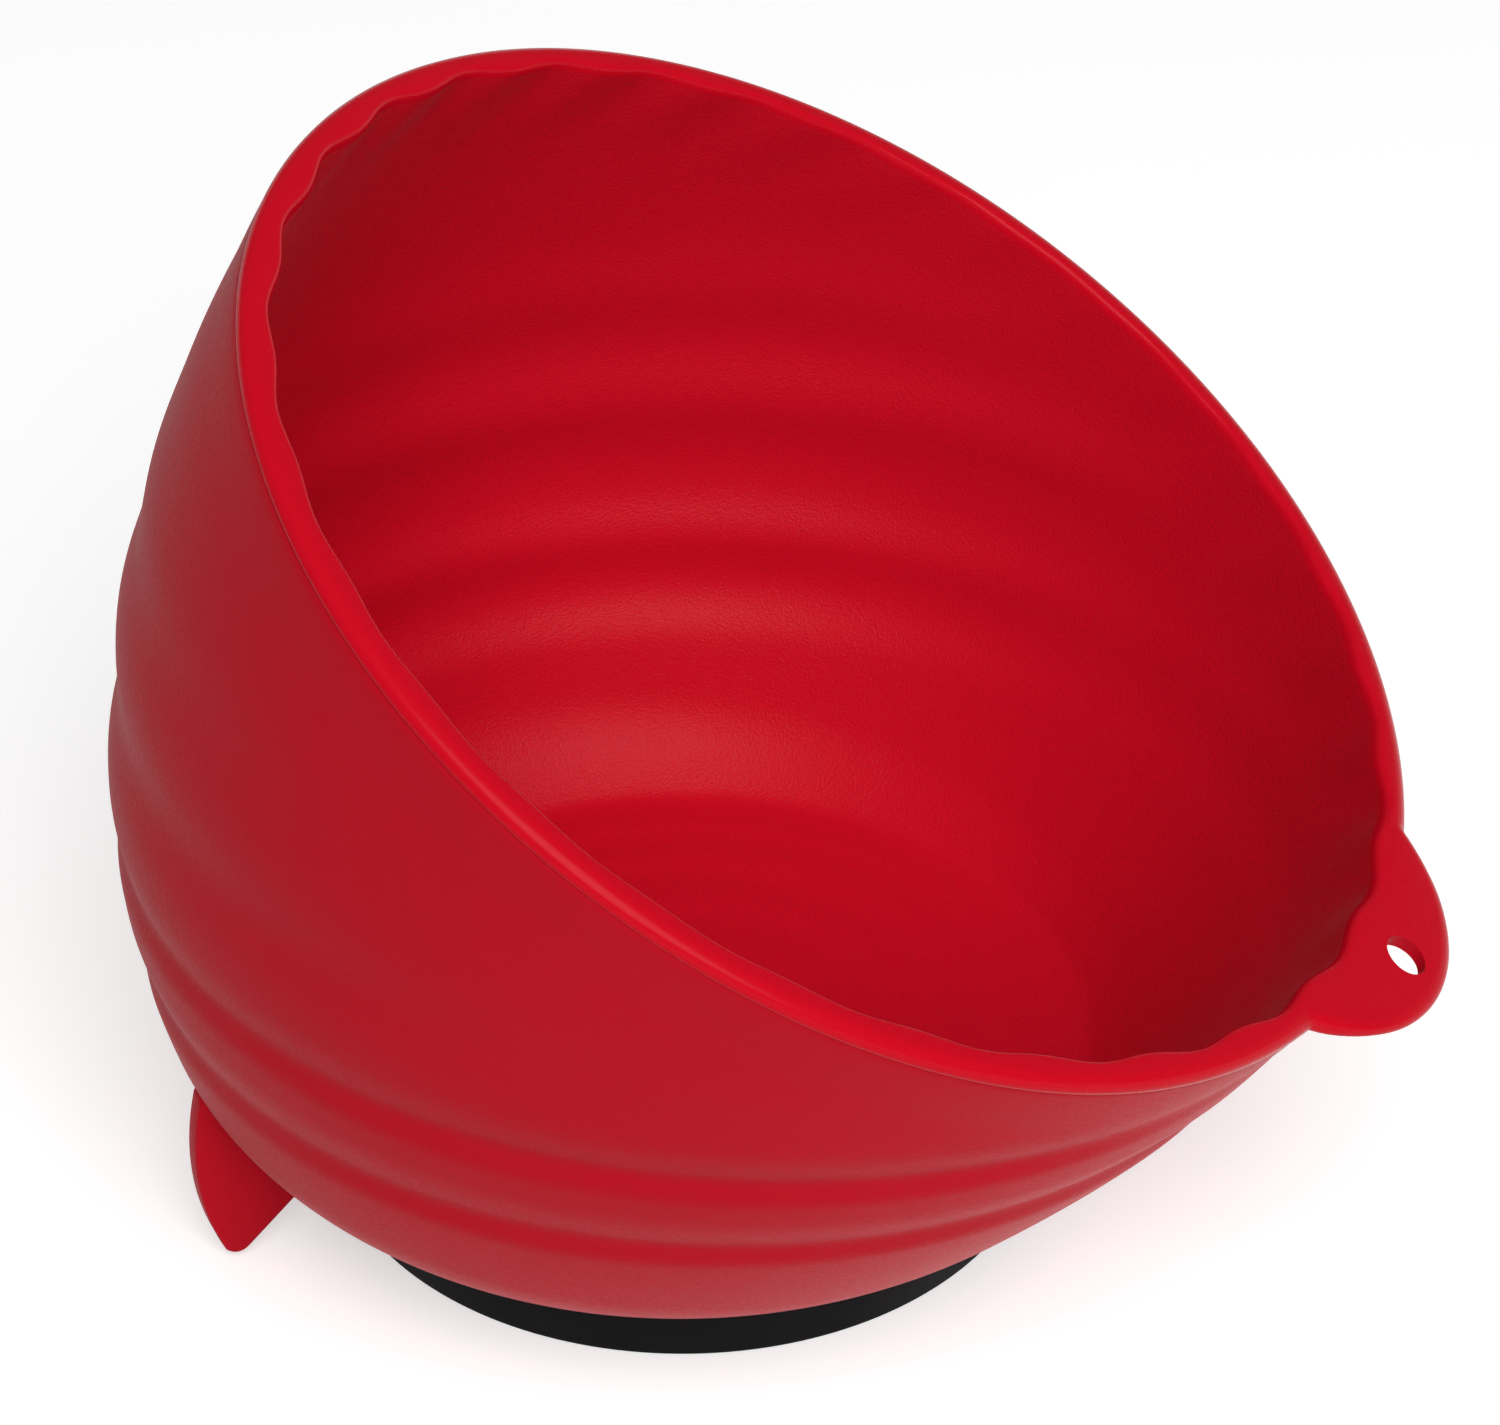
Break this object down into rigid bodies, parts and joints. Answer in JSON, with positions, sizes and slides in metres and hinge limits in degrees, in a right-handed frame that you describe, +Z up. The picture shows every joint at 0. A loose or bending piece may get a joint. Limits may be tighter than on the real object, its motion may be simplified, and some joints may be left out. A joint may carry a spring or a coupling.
{
  "type": "magnetic parts bowl",
  "caption": "Red plastic parts bowl with a slanted round mouth, a hanging tab and rear fins, turning on a rubber-booted magnet foot.",
  "frame": {"origin": "centre of the magnet foot's resting face", "axes": "+Z up along the foot's axis, +X towards the low side of the mouth and the hanging tab"},
  "size_m": [0.1585, 0.148, 0.129],
  "materials": {
    "red_plastic": "moulded polypropylene, fine mould grain outside, smoother lip",
    "black_rubber": "moulded rubber, satin",
    "ferrite": "sintered, ground faces",
    "zinc_steel": "zinc plated",
    "white_acetal": "smooth"
  },
  "bodies": {
    "foot": {"rubber_boot": "black_rubber", "ring_magnet": "ferrite", "pole_plate": "zinc_steel", "clinch_nut": "zinc_steel", "slip_ring": "white_acetal", "bearing_sleeve": "zinc_steel", "flat_washer": "zinc_steel", "split_washer": "zinc_steel", "foot_screw": "zinc_steel"},
    "bowl": {"bowl_wall": "red_plastic", "bowl_floor": "red_plastic", "hanging_tab": "red_plastic", "rear_fins": "red_plastic"}
  },
  "joints": [
    {"name": "bowl_swivel", "type": "hinge", "parent": "foot", "child": "bowl", "pos_m": [0, 0, 0], "axis": [0, 0, 1], "continuous": true}
  ]
}
